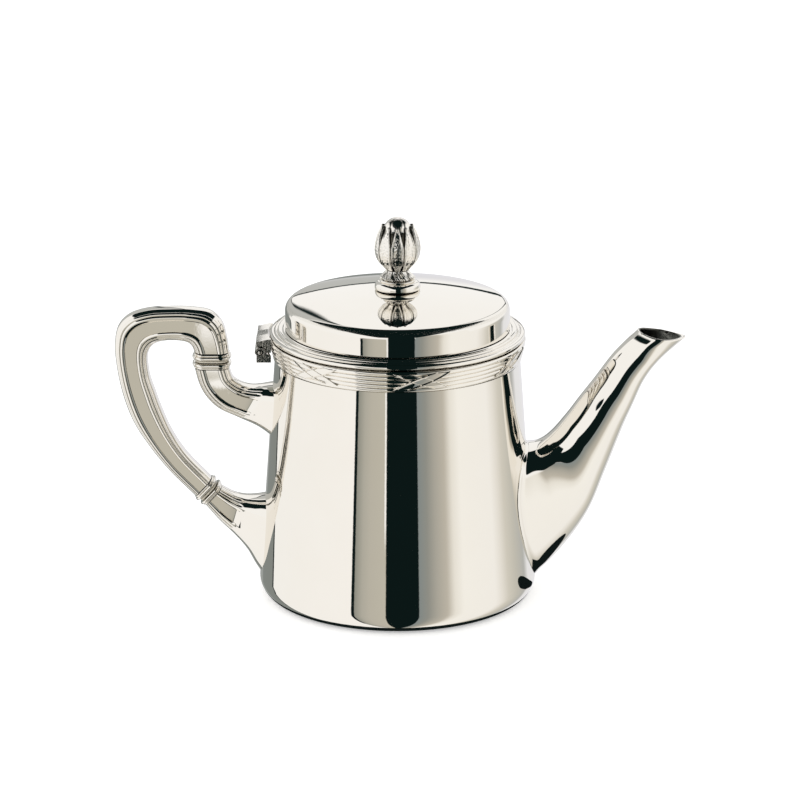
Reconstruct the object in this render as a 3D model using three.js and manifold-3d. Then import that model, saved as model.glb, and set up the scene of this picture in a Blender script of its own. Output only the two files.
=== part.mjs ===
// Silver coffee pot with a hinged lid: tapered body with a reeded band and crossed ribbons, swan-neck
// spout, reeded loop handle set between insulating discs, stepped lid and flower-bud finial.
// Millimetres, +Z up. The pot stands on z = 0 with its axis on Z; the handle is on -X, the spout on +X.
import * as THREE from "three";
import { mergeVertices } from "three/addons/utils/BufferGeometryUtils.js";
import Module from "manifold-3d";

const wasm = await Module();
wasm.setup();

// ---- driving dimensions ---------------------------------------------------------------------------
const GAP = 0.3; // between pieces that are soldered or clamped together
const ROUND = 48; // facets round the pot

const WALL = 1.4; // raised sheet of the body
const BODY_BASE_R = 49.2; // where the base edge starts to round
const BODY_MAX_R = 56.0;
const BASE_EDGE_H = 7.5;
const SHOULDER_R = 49.3; // body just under the band, at the end of a straight taper
const BAND_Z = 98.8;
const NECK_R = 48.4; // body inside the band
const MOUTH_Z = 107.1;

const BASE_LIP = 2.2; // flat ring the body stands on
const BASE_PLATE_T = 1.6;

const MOUTH_RING_R = 45.6;
const MOUTH_RING_Z = 103.2;

const BAND_TOP_Z = 107.4;
const BAND_R = 51.4;
const BAND_FACETS = 56; // a multiple of the ribbon crossings
const CROSSINGS = 7;
const CROSSING_TURN = -1.9; // degrees from an even start at the hinge
const RIBBON_RUN = 8.7; // half of a ribbon's travel along the band
const RIBBON_END_HALF = 3.2; // half of a ribbon's width along the band, at its ends and its middle
const RIBBON_MID_HALF = 5.0;
const RIBBON_LOW = 99.7;
const RIBBON_HIGH = 106.9;
const RIBBON_RIDGE = 0.35; // raised edge of a ribbon

const RIM_Z = 107.9; // underside of the lid
const RIM_R = 51.2;
const RIM_BORE_R = 43.2;
const LID_WALL_R = 45.0;
const LID_WALL_T = 1.2;
const LID_WALL_Z = 111.3;
const LID_SHOULDER_Z = 122.2;
const LID_FILLET = 3.8;
const LID_EDGE_SLOPE = (13.5 * Math.PI) / 180; // of the lid's top where it meets the rounded shoulder
const BEZEL_R = 44.0;
const BEZEL_T = 1.0;
const BEZEL_Z = 103.6;

const HINGE = { x: -54.8, z: 103.8 }; // hinge axis, along Y
const HINGE_HALF = 12.0;
const KNUCKLE_R = 2.1;
const KNUCKLE_HALF = 4.2; // lid's knuckle, half length
const PIN_R = 1.2;
const PIN_CLEARANCE = 0.07;
const LEAF_BACK_X = -56.2;
const LEAF_LOW_Z = 99.7;
const LEAF_SEAT_Z = 103.2; // body's leaf beside the knuckles
const LEAF_TOP_Z = 108.2;

const HANDLE_DEPTH = 5.5; // half of the handle's depth along Y
const PANEL_HALF = 0.37; // flat side panel, as a share of the half thickness
const REEDS = 5; // ridges and grooves from a side panel to the edge of the handle
const REED_CUT = 0.07; // depth of the grooves between reeds

const SPOUT_WALL = 1.2;

const FINIAL_FOOT_R = 9.1;
const FINIAL_NECK_Z = 131.7;
const BUD_Z = 135.2;
const BUD_TOP_Z = 156.5;
const PETALS = 10; // one of them faces straight to the side, square to the handle
const STUD_R = 1.5;

// ---- small helpers --------------------------------------------------------------------------------
function material(color, roughness, metalness) {
  return new THREE.MeshStandardMaterial({ color, roughness, metalness });
}
const silver = () => material("#d8d4cb", 0.12, 1);
const palePlastic = () => material("#d9d2bf", 0.4, 0);

function bare(geometry) {
  const plain = geometry.index ? geometry : geometry.clone();
  plain.deleteAttribute("normal");
  plain.deleteAttribute("uv");
  return mergeVertices(plain, 1e-4);
}

function signedVolume(geometry) {
  const p = geometry.getAttribute("position");
  const index = geometry.index.array;
  const [a, b, c] = [new THREE.Vector3(), new THREE.Vector3(), new THREE.Vector3()];
  let six = 0;
  for (let i = 0; i < index.length; i += 3) {
    a.fromBufferAttribute(p, index[i]);
    b.fromBufferAttribute(p, index[i + 1]);
    c.fromBufferAttribute(p, index[i + 2]);
    six += a.dot(b.cross(c));
  }
  return six / 6;
}

function outward(geometry) {
  if (signedVolume(geometry) < 0) {
    const index = geometry.index.array;
    for (let i = 0; i < index.length; i += 3) {
      [index[i + 1], index[i + 2]] = [index[i + 2], index[i + 1]];
    }
  }
  return geometry;
}

function solid(geometry) {
  const g = outward(bare(geometry));
  return new wasm.Manifold(
    new wasm.Mesh({
      numProp: 3,
      vertProperties: new Float32Array(g.getAttribute("position").array),
      triVerts: new Uint32Array(g.index.array),
    }),
  );
}

function geometryOf(manifold) {
  const mesh = manifold.getMesh();
  const geometry = new THREE.BufferGeometry();
  geometry.setAttribute("position", new THREE.BufferAttribute(mesh.vertProperties, 3));
  geometry.setIndex(new THREE.BufferAttribute(mesh.triVerts, 1));
  return geometry;
}

const coffeePot = new THREE.Group();
coffeePot.name = "silver_coffee_pot";
const vessel = new THREE.Group();
vessel.name = "vessel";
const lid = new THREE.Group();
lid.name = "lid";
coffeePot.add(vessel, lid);

function piece(group, name, body, look = silver()) {
  const mesh = new THREE.Mesh(geometryOf(body), look);
  mesh.name = name;
  group.add(mesh);
}

// a closed profile of [radius, z] pairs turned about Z
function turned(profile, facets = ROUND) {
  const points = profile.map(([r, z]) => new THREE.Vector2(r, z));
  const first = profile[0];
  const last = profile[profile.length - 1];
  if (first[0] > 0 || last[0] > 0) {
    points.push(new THREE.Vector2(first[0], first[1]));
  }
  const geometry = new THREE.LatheGeometry(points, facets);
  geometry.rotateX(Math.PI / 2);
  return solid(geometry);
}

function ringOf(inner, outer, low, high, facets = ROUND) {
  return turned(
    [
      [inner, low],
      [outer, low],
      [outer, high],
      [inner, high],
    ],
    facets,
  );
}

// an outline carried from t = 0 to t = 1, with every point put where place(outline index, t) says
function loft(outline, steps, place) {
  const shape = new THREE.Shape(outline.map(([u, v]) => new THREE.Vector2(u, v)));
  const geometry = bare(new THREE.ExtrudeGeometry(shape, { depth: 1, steps, bevelEnabled: false }));
  const p = geometry.getAttribute("position");
  for (let k = 0; k < p.count; k += 1) {
    const away = outline.map(([u, v]) => Math.hypot(u - p.getX(k), v - p.getY(k)));
    const i = away.indexOf(Math.min(...away));
    p.setXYZ(k, ...place(i, p.getZ(k)));
  }
  return solid(geometry);
}

// a flat outline of [x, z] pairs, as deep as halfDepth each way along Y
function slab(outline, halfDepth, offset = 0) {
  return loft(outline, 1, (i, t) => [
    outline[i][0],
    offset + (2 * t - 1) * halfDepth,
    outline[i][1],
  ]);
}

function circle(sides, radius = 1, x = 0, z = 0) {
  return Array.from({ length: sides }, (_, i) => {
    const a = (2 * Math.PI * i) / sides;
    return [x + radius * Math.cos(a), z + radius * Math.sin(a)];
  });
}

// an upright prism on the axis
function post(sides, radius, low, high) {
  const outline = circle(sides, radius);
  return loft(outline, 1, (i, t) => [...outline[i], mix(low, high, t)]);
}

function mix(a, b, t) {
  return a + (b - a) * t;
}

function smooth(t) {
  const s = Math.min(1, Math.max(0, t));
  return s * s * (3 - 2 * s);
}

// a smooth rail of edge pairs in the plane Y = 0: each station is [upper x, z, lower x, z, half depth]
function rail(stations) {
  const curve = (a, b, c) =>
    new THREE.CatmullRomCurve3(
      stations.map((s) => new THREE.Vector3(s[a], s[b], c === null ? 0 : s[c])),
      false,
      "centripetal",
    );
  const upper = curve(0, 1, 4);
  const lower = curve(2, 3, null);
  return (t) => {
    const a = upper.getPoint(t);
    const b = lower.getPoint(t);
    return { ax: a.x, az: a.y, bx: b.x, bz: b.y, depth: a.z };
  };
}

// an outline of [across, deep] shares carried along a rail
function along(track, outline, steps, shape = (i) => outline[i]) {
  return loft(outline, steps, (i, t) => {
    const s = track(t);
    const [u, v] = shape(i, t);
    return [
      mix(s.bx, s.ax, (u + 1) / 2),
      v * s.depth,
      mix(s.bz, s.az, (u + 1) / 2),
    ];
  });
}

// ---- pot body -------------------------------------------------------------------------------------
function bodyOuter() {
  const points = [];
  for (let i = 0; i <= 5; i += 1) {
    const a = (i / 5) * (Math.PI / 2);
    points.push([
      BODY_BASE_R + (BODY_MAX_R - BODY_BASE_R) * Math.sin(a),
      BASE_EDGE_H * (1 - Math.cos(a)),
    ]);
  }
  return [...points, [SHOULDER_R, BAND_Z - GAP]];
}

const outerWall = bodyOuter();
const innerWall = [
  [BODY_BASE_R + 0.8, WALL],
  [BODY_MAX_R - 3.0, 3.8],
  [BODY_MAX_R - WALL, BASE_EDGE_H + 0.5],
  [NECK_R - WALL, BAND_Z],
];

// the body's outside grown by a margin, for fitting the spout and the handle to it
const bodyFit = turned([
  [0, -1],
  ...outerWall.map(([r, z]) => [r + GAP, z]),
  [SHOULDER_R + GAP, BAND_Z + 20],
  [0, BAND_Z + 20],
]);

const shell = turned([
  [BODY_BASE_R - BASE_LIP, WALL],
  [BODY_BASE_R - BASE_LIP, 0],
  ...outerWall,
  [NECK_R, BAND_Z - GAP],
  [NECK_R, MOUTH_Z],
  [NECK_R - WALL, MOUTH_Z],
  ...[...innerWall].reverse(),
]);

piece(vessel, "base_plate", turned([
  [0, 0],
  [BODY_BASE_R - BASE_LIP - GAP, 0],
  [BODY_BASE_R - BASE_LIP - GAP, BASE_PLATE_T],
  [0, BASE_PLATE_T],
]));

piece(vessel, "mouth_ring", ringOf(MOUTH_RING_R, NECK_R - WALL - GAP, MOUTH_RING_Z, MOUTH_Z));

// ---- reeded band with crossed ribbons -------------------------------------------------------------
const REED_PITCH = (BAND_TOP_Z - BAND_Z) / 5;
const REED_CRESTS = [49.95, 50.4, 50.8, 51.1, BAND_R]; // of the reeds, from the lowest
const REED_DEPTH = 0.6;

const bandProfile = [[NECK_R + GAP, BAND_Z]];
REED_CRESTS.forEach((crest, k) => {
  const low = BAND_Z + REED_PITCH * k;
  bandProfile.push(
    [crest - REED_DEPTH, low + 0.1],
    [crest - 0.15, low + REED_PITCH * 0.28],
    [crest, low + REED_PITCH / 2],
    [crest - 0.15, low + REED_PITCH * 0.72],
  );
});
bandProfile.push([BAND_R - REED_DEPTH, BAND_TOP_Z - 0.1], [NECK_R + GAP, BAND_TOP_Z]);

// crest radius of the reeds at a height
function crestAt(z) {
  const k = Math.min(3.999, Math.max(0, (z - BAND_Z) / REED_PITCH - 0.5));
  const low = Math.floor(k);
  return mix(REED_CRESTS[low], REED_CRESTS[low + 1], k - low);
}

// a slanting ribbon, wider at its middle, with raised edges
function ribbon(centre, lean, lift) {
  const outline = [
    [-1, -1.2],
    [1, -1.2],
    [1, 0],
    [0.82, 0],
    [0.7, -RIBBON_RIDGE],
    [-0.7, -RIBBON_RIDGE],
    [-0.82, 0],
    [-1, 0],
  ];
  return loft(outline, 4, (i, t) => {
    const half = mix(RIBBON_END_HALF, RIBBON_MID_HALF, Math.sin(Math.PI * t));
    const z = mix(RIBBON_LOW, RIBBON_HIGH, t);
    const r = crestAt(z) + lift + outline[i][1];
    const run = lean * mix(-RIBBON_RUN, RIBBON_RUN, t) + half * outline[i][0];
    const angle = centre + run / BAND_R;
    return [r * Math.cos(angle), r * Math.sin(angle), z];
  });
}

let band = turned(bandProfile, BAND_FACETS);
for (let k = 1; k < CROSSINGS; k += 1) {
  const centre = Math.PI + (CROSSING_TURN * Math.PI) / 180 + (2 * Math.PI * k) / CROSSINGS;
  band = band.add(ribbon(centre, 1, 0.6)).add(ribbon(centre, -1, 0.3));
}
piece(vessel, "reeded_band", band);

// ---- spout ----------------------------------------------------------------------------------------
const spoutStations = [
  [43.0, 60.6, 44.0, 4.0, 25.0],
  [51.5, 62.0, 56.2, 8.0, 20.0],
  [57.0, 63.2, 68.0, 20.0, 15.8],
  [61.8, 67.0, 77.2, 34.0, 12.6],
  [67.9, 74.5, 83.9, 51.0, 11.5],
  [73.5, 82.3, 91.1, 70.5, 10.2],
  [79.0, 89.7, 94.9, 79.5, 8.8],
  [85.8, 99.2, 99.3, 89.6, 8.1],
  [91.0, 105.0, 104.9, 97.4, 8.0],
  [95.9, 109.6, 115.6, 107.1, 8.2],
];
const spoutTrack = rail(spoutStations);
const roundOutline = circle(20);

// the section is fullest beside the body at the root and nearer its lower edge along the neck, and at
// the mouth it draws out to a pointed beak on its lower side
function spoutSection(i, t) {
  const [c, v] = roundOutline[i];
  const lean = -0.26 + 0.38 * smooth((t - 0.3) / 0.33) - 0.12 * smooth((t - 0.85) / 0.15);
  const u = c - lean * v * v;
  const draw = 0.3 * smooth((t - 0.86) / 0.14) * Math.max(0, -u);
  return [u, v * (1 - draw)];
}

const SPOUT_STEPS = 18;
const LIP_SAG = 0.9; // how far the rim dips between its heel and its beak
const BORE_OVERRUN = 1; // the bore runs this far out of the spout's mouth

function spoutSolid(wall, past) {
  return loft(roundOutline, SPOUT_STEPS, (i, t) => {
    const s = spoutTrack(t);
    const long = Math.hypot(s.ax - s.bx, s.az - s.bz) / 2;
    const [u, v] = spoutSection(i, t);
    const across = (u * (1 - wall / long) + 1) / 2;
    const lift = (t === 1 ? past : 0) - LIP_SAG * smooth((t - 0.92) / 0.08) * v * v;
    return [
      mix(s.bx, s.ax, across),
      v * (s.depth - wall),
      mix(s.bz, s.az, across) + lift,
    ];
  });
}
const spoutBore = spoutSolid(SPOUT_WALL, BORE_OVERRUN);
piece(vessel, "spout", spoutSolid(0, 0).subtract(bodyFit).subtract(spoutBore));

// the body is pierced by one round hole behind the spout's root
const SPOUT_HOLE = { z: 36, radius: 12 };
const holeOutline = circle(20, SPOUT_HOLE.radius);
const spoutHole = loft(holeOutline, 1, (i, t) => {
  const [y, z] = holeOutline[i];
  return [mix(40, 70, t), y, SPOUT_HOLE.z + z];
});
piece(vessel, "body_shell", shell.subtract(spoutHole));

// ---- handle ---------------------------------------------------------------------------------------
// outline of the handle's section: two flat side panels and reeded edges, as shares of its half sizes
function reededOutline(cut) {
  const quarter = [];
  for (let k = 0; k <= REEDS; k += 1) {
    const a = (k / REEDS) * (Math.PI / 2);
    const depth = k % 2 === 1 ? 1 : 1 - cut;
    quarter.push([
      PANEL_HALF + (1 - PANEL_HALF) * Math.sin(a) * depth,
      Math.cos(a) * depth,
    ]);
  }
  const lower = quarter.slice(0, -1).reverse();
  const half = [...quarter, ...lower.map(([u, v]) => [u, -v])];
  return [...half, ...half.map(([u, v]) => [-u, -v])];
}
const reeded = reededOutline(REED_CUT);
const plain = reededOutline(0);

// the two joints of the handle: centre, half thickness, and the directions across and down the handle
const upperSeat = { x: -74.4, z: 97.8, half: 7.0, across: [1, 0], down: [0, -1] };
const lowerTilt = (43 * Math.PI) / 180;
const lowerSeat = {
  x: -76.6,
  z: 42.4,
  half: 4.9,
  across: [Math.sin(lowerTilt), Math.cos(lowerTilt)],
  down: [Math.cos(lowerTilt), -Math.sin(lowerTilt)],
};
const DISC_HALF = 0.45; // half thickness of the upper disc; the beads beside it end at BEAD_END
const BEAD_END = 3.1;
const LOWER_DISC_HALF = 0.4;
const LOWER_BEAD_END = 2.65;
const BEAD_SWELL = 0.1;
const BEAD_BULGE = 0.55;

// the handle's end at a joint, as a rail station whose first edge lies on the given side of the seat
function seatStation(seat, run, side) {
  const centre = [seat.x + run * seat.down[0], seat.z + run * seat.down[1]];
  const half = seat.half * side;
  return [
    centre[0] + half * seat.across[0],
    centre[1] + half * seat.across[1],
    centre[0] - half * seat.across[0],
    centre[1] - half * seat.across[1],
    HANDLE_DEPTH,
  ];
}

const gripTrack = rail([
  seatStation(upperSeat, -BEAD_END - GAP, 1),
  [-68.2, 107.0, -82.4, 103.6, HANDLE_DEPTH],
  [-70.0, 113.4, -84.2, 105.2, HANDLE_DEPTH],
  [-74.4, 117.8, -86.8, 105.8, HANDLE_DEPTH],
  [-82.0, 119.3, -89.6, 106.0, HANDLE_DEPTH],
  [-91.0, 119.5, -92.6, 105.9, HANDLE_DEPTH],
  [-100.0, 118.9, -95.6, 105.3, HANDLE_DEPTH],
  [-107.4, 116.4, -98.1, 103.8, HANDLE_DEPTH],
  [-111.7, 111.8, -99.6, 101.4, HANDLE_DEPTH],
  [-113.3, 104.6, -100.1, 98.2, HANDLE_DEPTH],
  [-112.6, 94.0, -99.3, 91.0, HANDLE_DEPTH],
  [-110.1, 82.2, -97.2, 84.3, HANDLE_DEPTH],
  [-106.4, 72.0, -95.2, 78.3, HANDLE_DEPTH],
  [-100.4, 62.0, -91.2, 68.5, HANDLE_DEPTH],
  [-92.6, 51.8, -85.4, 59.0, HANDLE_DEPTH],
  seatStation(lowerSeat, -LOWER_BEAD_END - GAP, -1),
]);
piece(vessel, "handle_grip", along(gripTrack, reeded, 32));

function fading(from, to) {
  return (i, t) => {
    const fade = smooth((t - from) / (to - from));
    return [mix(reeded[i][0], plain[i][0], fade), mix(reeded[i][1], plain[i][1], fade)];
  };
}

const upperMountTrack = rail([
  seatStation(upperSeat, BEAD_END + GAP, 1),
  [-65.8, 90.2, -79.8, 88.2, HANDLE_DEPTH + 0.1],
  [-62.4, 87.9, -77.2, 83.0, HANDLE_DEPTH + 0.3],
  [-58.5, 86.8, -72.3, 77.9, HANDLE_DEPTH + 0.6],
  [-54.5, 87.0, -64.0, 73.9, HANDLE_DEPTH + 1.5],
  [-50.5, 87.5, -55.6, 70.0, HANDLE_DEPTH + 3.6],
  [-46.0, 88.2, -47.0, 63.5, HANDLE_DEPTH + 6.4],
]);
piece(
  vessel,
  "handle_upper_mount",
  along(upperMountTrack, reeded, 12, fading(0.55, 0.75)).subtract(bodyFit),
);

const lowerMountTrack = rail([
  seatStation(lowerSeat, LOWER_BEAD_END + GAP, 1),
  [-66.0, 41.3, -72.1, 30.1, HANDLE_DEPTH + 0.4],
  [-61.5, 40.2, -65.9, 24.0, HANDLE_DEPTH + 1.6],
  [-57.0, 40.2, -61.1, 18.3, HANDLE_DEPTH + 3.3],
  [-52.8, 40.8, -57.4, 11.8, HANDLE_DEPTH + 5.2],
  [-48.0, 41.6, -52.0, 4.0, HANDLE_DEPTH + 7.6],
]);
piece(
  vessel,
  "handle_lower_mount",
  along(lowerMountTrack, reeded, 10, fading(0.35, 0.6)).subtract(bodyFit),
);

// beads and discs between the grip and its mounts, stacked along the handle
const discOutline = reededOutline(0).filter((_, i) => i % 2 === 0);

function disc(name, seat, from, to, swell, bulge, look) {
  const bodyOf = loft(discOutline, bulge > 0 ? 4 : 1, (i, t) => {
    const grow = swell + bulge * Math.sin(Math.PI * t);
    const [u, v] = discOutline[i];
    const side = u * (seat.half + grow);
    const run = mix(from, to, t);
    return [
      seat.x + side * seat.across[0] + run * seat.down[0],
      v * (HANDLE_DEPTH + grow),
      seat.z + side * seat.across[1] + run * seat.down[1],
    ];
  });
  piece(vessel, name, bodyOf, look);
}

disc("upper_grip_ferrule", upperSeat, -BEAD_END, -DISC_HALF - GAP, BEAD_SWELL, BEAD_BULGE);
disc("upper_insulator", upperSeat, -DISC_HALF, DISC_HALF, -0.2, 0, palePlastic());
disc("upper_mount_ferrule", upperSeat, DISC_HALF + GAP, BEAD_END, BEAD_SWELL, BEAD_BULGE);
disc("lower_grip_ferrule", lowerSeat, -LOWER_BEAD_END, -LOWER_DISC_HALF - GAP, BEAD_SWELL, BEAD_BULGE);
disc("lower_insulator", lowerSeat, -LOWER_DISC_HALF, LOWER_DISC_HALF, -0.2, 0, palePlastic());
disc("lower_mount_ferrule", lowerSeat, LOWER_DISC_HALF + GAP, LOWER_BEAD_END, BEAD_SWELL, BEAD_BULGE);

// ---- hinge ----------------------------------------------------------------------------------------
const LEAF_INSIDE_X = -48.0; // the leaves are cut back from here to the band
const bandFit = ringOf(30, BAND_R + 0.35, BAND_Z - 5, RIM_Z + 6, 112);
const pinHole = slab(circle(32, PIN_R + PIN_CLEARANCE, HINGE.x, HINGE.z), HINGE_HALF + 2);
const knuckle = (half, offset) => slab(circle(24, KNUCKLE_R, HINGE.x, HINGE.z), half, offset);

const bodyLeafOutline = [
  [LEAF_BACK_X, LEAF_LOW_Z],
  [LEAF_INSIDE_X, LEAF_LOW_Z],
  [LEAF_INSIDE_X, LEAF_SEAT_Z],
  [HINGE.x, LEAF_SEAT_Z],
  [HINGE.x, HINGE.z],
  [LEAF_BACK_X, HINGE.z],
];
const centreSlot = slab(
  circle(24, KNUCKLE_R + 0.6, HINGE.x, HINGE.z),
  KNUCKLE_HALF + GAP,
);
const KNUCKLE_MID = (HINGE_HALF + KNUCKLE_HALF + GAP) / 2;
const KNUCKLE_SPAN = (HINGE_HALF - KNUCKLE_HALF - GAP) / 2;
piece(
  vessel,
  "hinge_body_leaf",
  slab(bodyLeafOutline, HINGE_HALF)
    .subtract(centreSlot)
    .add(knuckle(KNUCKLE_SPAN, KNUCKLE_MID))
    .add(knuckle(KNUCKLE_SPAN, -KNUCKLE_MID))
    .subtract(pinHole)
    .subtract(bandFit),
);

piece(vessel, "hinge_pin", slab(circle(32, PIN_R, HINGE.x, HINGE.z), HINGE_HALF));

// the underside of the lid's leaf is hollowed round the knuckles, and comes down towards the band
const lidLeafOutline = [
  [LEAF_INSIDE_X, LEAF_SEAT_Z + 2 * GAP],
  [LEAF_INSIDE_X, LEAF_TOP_Z + 1.1],
  [-51.5, LEAF_TOP_Z + 1.1],
  [LEAF_BACK_X, LEAF_TOP_Z],
];
for (let i = 0; i <= 8; i += 1) {
  const a = mix(2.12, 0, i / 8);
  lidLeafOutline.push([
    HINGE.x + (KNUCKLE_R + 0.55) * Math.cos(a),
    HINGE.z + (KNUCKLE_R + 0.55) * Math.sin(a),
  ]);
}
const lidKnuckleWeb = [
  [LEAF_BACK_X, HINGE.z],
  [HINGE.x + KNUCKLE_R, HINGE.z],
  [HINGE.x + KNUCKLE_R, HINGE.z + 3.2],
  [LEAF_BACK_X, HINGE.z + 3.2],
];
piece(
  lid,
  "hinge_lid_leaf",
  slab(lidLeafOutline, HINGE_HALF)
    .add(slab(lidKnuckleWeb, KNUCKLE_HALF))
    .add(knuckle(KNUCKLE_HALF, 0))
    .subtract(pinHole)
    .subtract(bandFit),
);

// ---- lid ------------------------------------------------------------------------------------------
// an edge bead with a flat top, and two finer reeds that step up and in towards the wall:
// centre radius, z, radius
const rimBeads = [
  [RIM_R - 1.0, RIM_Z + 1.0, 1.0],
  [48.65, 109.75, 0.72],
  [47.35, 110.25, 0.68],
];
const rimProfile = [[RIM_BORE_R, RIM_Z]];
rimBeads.forEach(([r, z, radius], k) => {
  const first = k === 0 ? -90 : 0;
  for (let i = 0; i <= 4; i += 1) {
    const a = (mix(first, 85, i / 4) * Math.PI) / 180;
    rimProfile.push([r + radius * Math.cos(a), z + radius * Math.sin(a)]);
  }
});
rimProfile.push(
  [46.4, 110.5],
  [45.6, LID_WALL_Z - GAP],
  [RIM_BORE_R, LID_WALL_Z - GAP],
);
piece(lid, "lid_rim", turned(rimProfile));
piece(lid, "lid_bezel", ringOf(BEZEL_R - BEZEL_T, BEZEL_R, BEZEL_Z, RIM_Z - GAP));

// the lid's top is a shallow sphere that runs into the rounded shoulder
const LID_EDGE_R = LID_WALL_R - LID_FILLET * (1 - Math.sin(LID_EDGE_SLOPE));
const DOME_R = LID_EDGE_R / Math.sin(LID_EDGE_SLOPE);
const DOME_CENTRE_Z =
  LID_SHOULDER_Z - LID_FILLET * (1 - Math.cos(LID_EDGE_SLOPE)) - DOME_R * Math.cos(LID_EDGE_SLOPE);
function lidDome(r) {
  return DOME_CENTRE_Z + Math.sqrt(DOME_R ** 2 - r ** 2);
}
const STUD_HOLE_R = STUD_R + GAP;
const lidOutside = [];
const lidInside = [];
for (let i = 0; i <= 4; i += 1) {
  const a = (i / 4) * (Math.PI / 2 - LID_EDGE_SLOPE);
  const r = LID_WALL_R - LID_FILLET + LID_FILLET * Math.cos(a);
  const z = LID_SHOULDER_Z - LID_FILLET + LID_FILLET * Math.sin(a);
  lidOutside.push([r, z]);
  lidInside.push([
    r - LID_WALL_T * Math.cos(a),
    z - LID_WALL_T * Math.sin(a),
  ]);
}
for (const r of [33, 25, 17, 9.5, STUD_HOLE_R]) {
  lidOutside.push([r, lidDome(r)]);
  lidInside.push([r, lidDome(r) - LID_WALL_T]);
}
piece(
  lid,
  "lid_cap",
  turned([[LID_WALL_R, LID_WALL_Z], ...lidOutside, ...lidInside.reverse(), [
    LID_WALL_R - LID_WALL_T,
    LID_WALL_Z,
  ]]),
);

// ---- finial ---------------------------------------------------------------------------------------
const FOOT_Z = lidDome(0) + GAP;
const FOOT_BORE = STUD_R + PIN_CLEARANCE + 0.1;
piece(
  lid,
  "finial_foot",
  turned(
    [
      [FOOT_BORE, FOOT_Z],
      [4.5, FOOT_Z - 0.05],
      [8.8, FOOT_Z - 0.22],
      [FINIAL_FOOT_R, FOOT_Z + 0.1],
      [FINIAL_FOOT_R, FOOT_Z + 1.1],
      [8.9, FOOT_Z + 2.1],
      [8.4, FOOT_Z + 2.6],
      [7.5, FOOT_Z + 3.0],
      [6.95, FOOT_Z + 3.1],
      [7.3, FOOT_Z + 3.5],
      [6.9, FOOT_Z + 3.95],
      [FOOT_BORE, FOOT_Z + 4.0],
    ],
    32,
  ),
);

const calyxOutline = circle(32);
const calyxProfile = (t) => mix(6.9, 4.75, smooth(t)) + 0.35 * Math.sin(Math.PI * t);
const calyx = loft(calyxOutline, 4, (i, t) => {
  const [u, v] = calyxOutline[i];
  const scallop = 1 - 0.12 * (1 - t) * (i % 4 === 2 ? 1 : 0);
  const r = calyxProfile(t) * scallop;
  return [u * r, v * r, mix(FINIAL_NECK_Z, BUD_Z - GAP, t)];
});
const STUD_TOP = BUD_Z + 5.6;
const studBore = post(16, FOOT_BORE, FINIAL_NECK_Z - 1, STUD_TOP + 0.4);
piece(lid, "finial_calyx", calyx.subtract(studBore));

// radius of the bud's surface, from its neck to the tips of its petals
const budCurve = new THREE.CatmullRomCurve3(
  [
    [4.6, BUD_Z],
    [5.9, 136.7],
    [7.3, 138.2],
    [8.4, 140.2],
    [8.95, 142.6],
    [9.0, 145.0],
    [8.6, 147.4],
    [7.9, 149.8],
    [6.9, 151.8],
    [6.1, 153.3],
  ].map(([r, z]) => new THREE.Vector3(r, z, 0)),
);
const heart = turned(
  [
    [0, BUD_Z],
    ...[0, 0.2, 0.4, 0.6, 0.8, 0.9].map((t) => {
      const p = budCurve.getPoint(t);
      return [p.x - 1.3, p.y];
    }),
    [5.35, 153.0],
    [4.1, 154.95],
    [2.2, 156.1],
    [0, BUD_TOP_Z],
  ],
  24,
);

// one long petal with raised edges and a hollow middle, wrapped on the heart of the bud
function petal(angle, reach, lift) {
  const outline = [
    [-1, -1.1],
    [-1, -0.2],
    [-0.8, 0.55],
    [0, 0.25],
    [0.8, 0.55],
    [1, -0.2],
    [1, -1.1],
  ];
  return loft(outline, 8, (i, t) => {
    const p = budCurve.getPoint(reach * t);
    const taper = Math.min(1, (1 - t) / 0.42) ** 0.7;
    const wide = (Math.PI / PETALS) * mix(0.68, 0.96, smooth(t / 0.3)) * taper + 0.03;
    const a = angle + outline[i][0] * wide;
    const r = p.x + lift + outline[i][1] * mix(1, 0.55, t);
    return [r * Math.cos(a), r * Math.sin(a), p.y + 0.02];
  });
}
let bud = heart;
for (let k = 0; k < PETALS; k += 1) {
  bud = bud.add(petal((2 * Math.PI * (k + 0.5)) / PETALS, 1, k % 2 === 0 ? 0 : 0.12));
}
piece(lid, "finial_bud", bud.subtract(studBore));

// under the lid: washer, nut and the end of the stud
const WASHER_TOP = lidDome(0) - LID_WALL_T - GAP - 0.1;
const WASHER_R = 5.0;
const WASHER_T = 0.8;
const NUT_TOP = WASHER_TOP - WASHER_T - GAP;
const NUT_R = 3.4;
const NUT_T = 2.4;
piece(lid, "finial_stud", post(16, STUD_R, NUT_TOP - NUT_T - 1.0, STUD_TOP));
piece(lid, "finial_washer", ringOf(STUD_R + 0.2, WASHER_R, WASHER_TOP - WASHER_T, WASHER_TOP, 24));
piece(
  lid,
  "finial_nut",
  post(6, NUT_R, NUT_TOP - NUT_T, NUT_TOP).subtract(post(16, FOOT_BORE, NUT_TOP - 5, NUT_TOP + 1)),
);

export default coffeePot;
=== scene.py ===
import math

import bmesh
import bpy
import numpy as np
from mathutils import Matrix


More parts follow.
